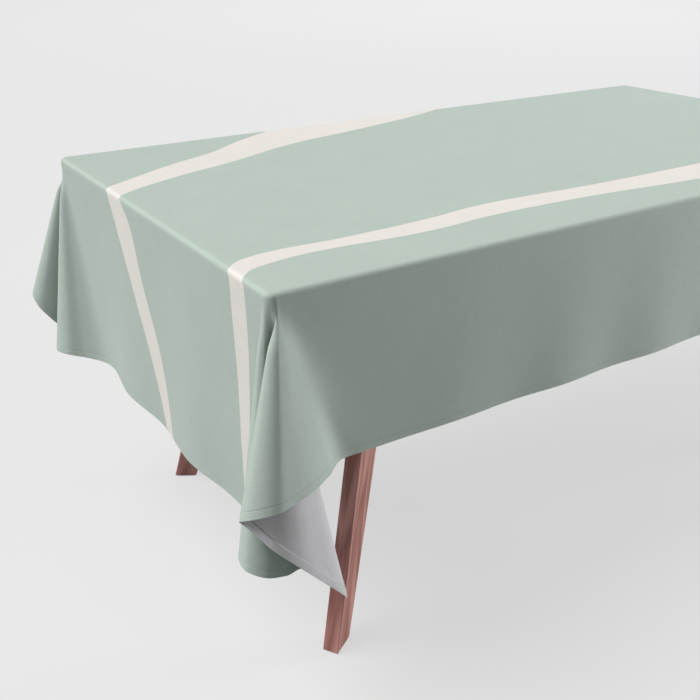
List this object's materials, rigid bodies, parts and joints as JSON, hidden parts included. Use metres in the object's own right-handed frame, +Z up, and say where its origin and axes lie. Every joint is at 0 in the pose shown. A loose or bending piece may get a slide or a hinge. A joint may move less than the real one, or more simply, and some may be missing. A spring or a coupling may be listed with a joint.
{
  "type": "tablecloth on a table",
  "caption": "Thin rectangular tablecloth draped over a dining table, with an even overhang, folded corners and splayed tapered wooden legs underneath.",
  "frame": {"origin": "on the floor, under the middle of the table", "axes": "+Z up, +X along the table's long side; the front is -Y and the left end is -X"},
  "size_m": [1.7844, 0.9958, 0.75],
  "materials": {
    "cloth": "matt coated cotton, sage green with cream bands, white back",
    "leg_wood": "satin reddish-brown stain",
    "frame_wood": "plain oiled hardwood",
    "top_wood": "satin stained boards",
    "steel": "zinc plated",
    "felt": "pressed felt"
  },
  "bodies": {
    "table": {"bracket_back_left": "steel", "bracket_back_right": "steel", "bracket_end_left": "steel", "bracket_end_right": "steel", "bracket_front_left": "steel", "bracket_front_right": "steel", "corner_block_back_left": "frame_wood", "corner_block_back_right": "frame_wood", "corner_block_front_left": "frame_wood", "corner_block_front_right": "frame_wood", "cross_rail": "frame_wood", "foot_pad_back_left": "felt", "foot_pad_back_right": "felt", "foot_pad_front_left": "felt", "foot_pad_front_right": "felt", "hanger_bolt_back_left": "steel", "hanger_bolt_back_right": "steel", "hanger_bolt_front_left": "steel", "hanger_bolt_front_right": "steel", "leg_back_left": "leg_wood", "leg_back_right": "leg_wood", "leg_front_left": "leg_wood", "leg_front_right": "leg_wood", "nut_back_left": "steel", "nut_back_right": "steel", "nut_front_left": "steel", "nut_front_right": "steel", "rail_back": "frame_wood", "rail_front": "frame_wood", "rail_left": "frame_wood", "rail_right": "frame_wood", "screw_rail_bracket_back_left": "steel", "screw_rail_bracket_back_right": "steel", "screw_rail_bracket_end_left": "steel", "screw_rail_bracket_end_right": "steel", "screw_rail_bracket_front_left": "steel", "screw_rail_bracket_front_right": "steel", "screw_top_bracket_back_left": "steel", "screw_top_bracket_back_right": "steel", "screw_top_bracket_end_left": "steel", "screw_top_bracket_end_right": "steel", "screw_top_bracket_front_left": "steel", "screw_top_bracket_front_right": "steel", "tabletop": "top_wood", "washer_back_left": "steel", "washer_back_right": "steel", "washer_front_left": "steel", "washer_front_right": "steel"},
    "cloth": {"tablecloth": "cloth"}
  },
  "joints": [
    {"name": "cloth_lift", "type": "slide", "parent": "table", "child": "cloth", "axis": [0, 0, 1], "range_m": [0, 0.52]}
  ]
}
